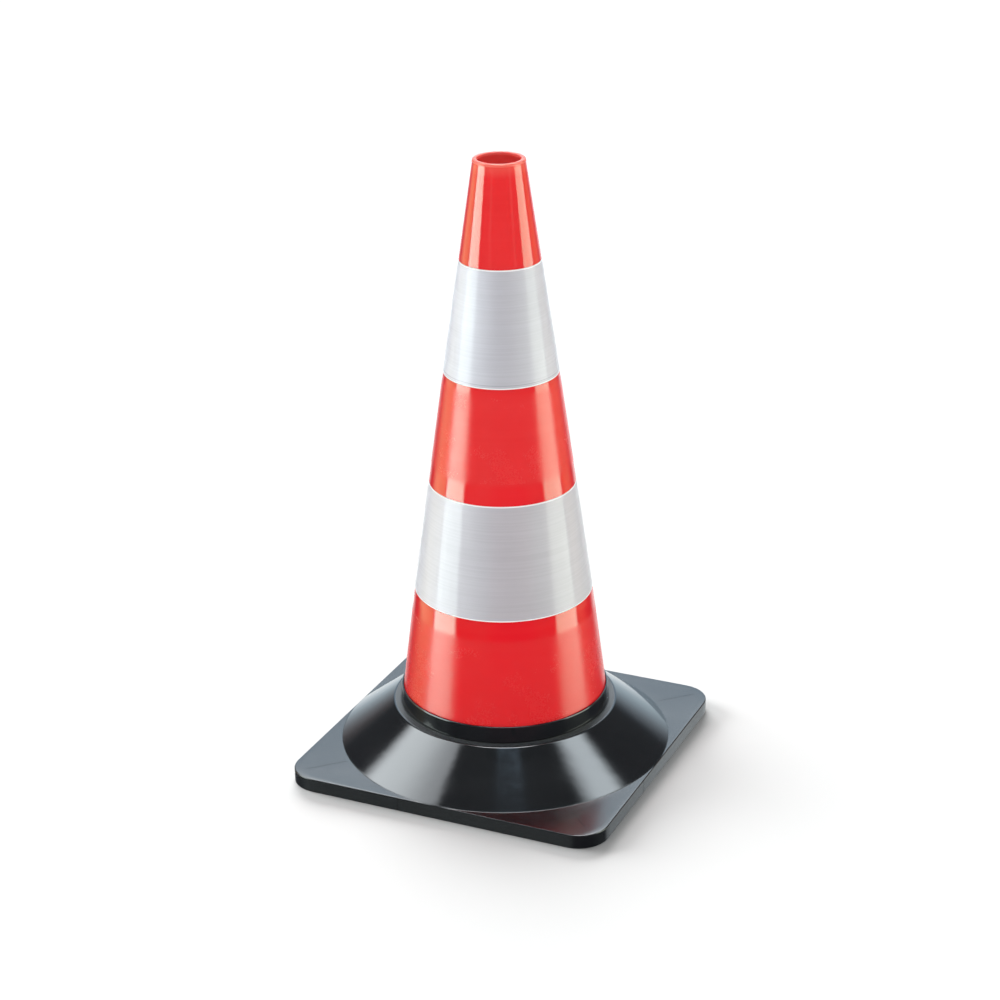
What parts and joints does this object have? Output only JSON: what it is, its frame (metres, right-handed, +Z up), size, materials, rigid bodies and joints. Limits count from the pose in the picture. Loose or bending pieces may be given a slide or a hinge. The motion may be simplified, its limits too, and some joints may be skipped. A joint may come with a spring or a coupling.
{
  "type": "traffic cone",
  "caption": "Orange traffic cone with white reflective sleeves, a hollow body open at the top, and a square black weighted base that lifts off over the tip.",
  "frame": {"origin": "centre of the base's footprint, on the ground", "axes": "+Z up along the cone's axis; the plate's sides run along X and Y"},
  "size_m": [0.2716, 0.2716, 0.5],
  "materials": {
    "orange_pvc": "flow-moulded fluorescent red-orange PVC, satin gloss",
    "reflective_film": "white retroreflective sheeting under a clear glossy skin",
    "black_rubber": "smooth glossy black moulding"
  },
  "bodies": {
    "cone": {"cone_body": "orange_pvc", "upper_reflective_sleeve": "reflective_film", "lower_reflective_sleeve": "reflective_film"},
    "base": {"base": "black_rubber"}
  },
  "joints": [
    {"name": "base_lift", "type": "slide", "parent": "cone", "child": "base", "axis": [0, 0, 1], "range_m": [0, 0.51]}
  ]
}
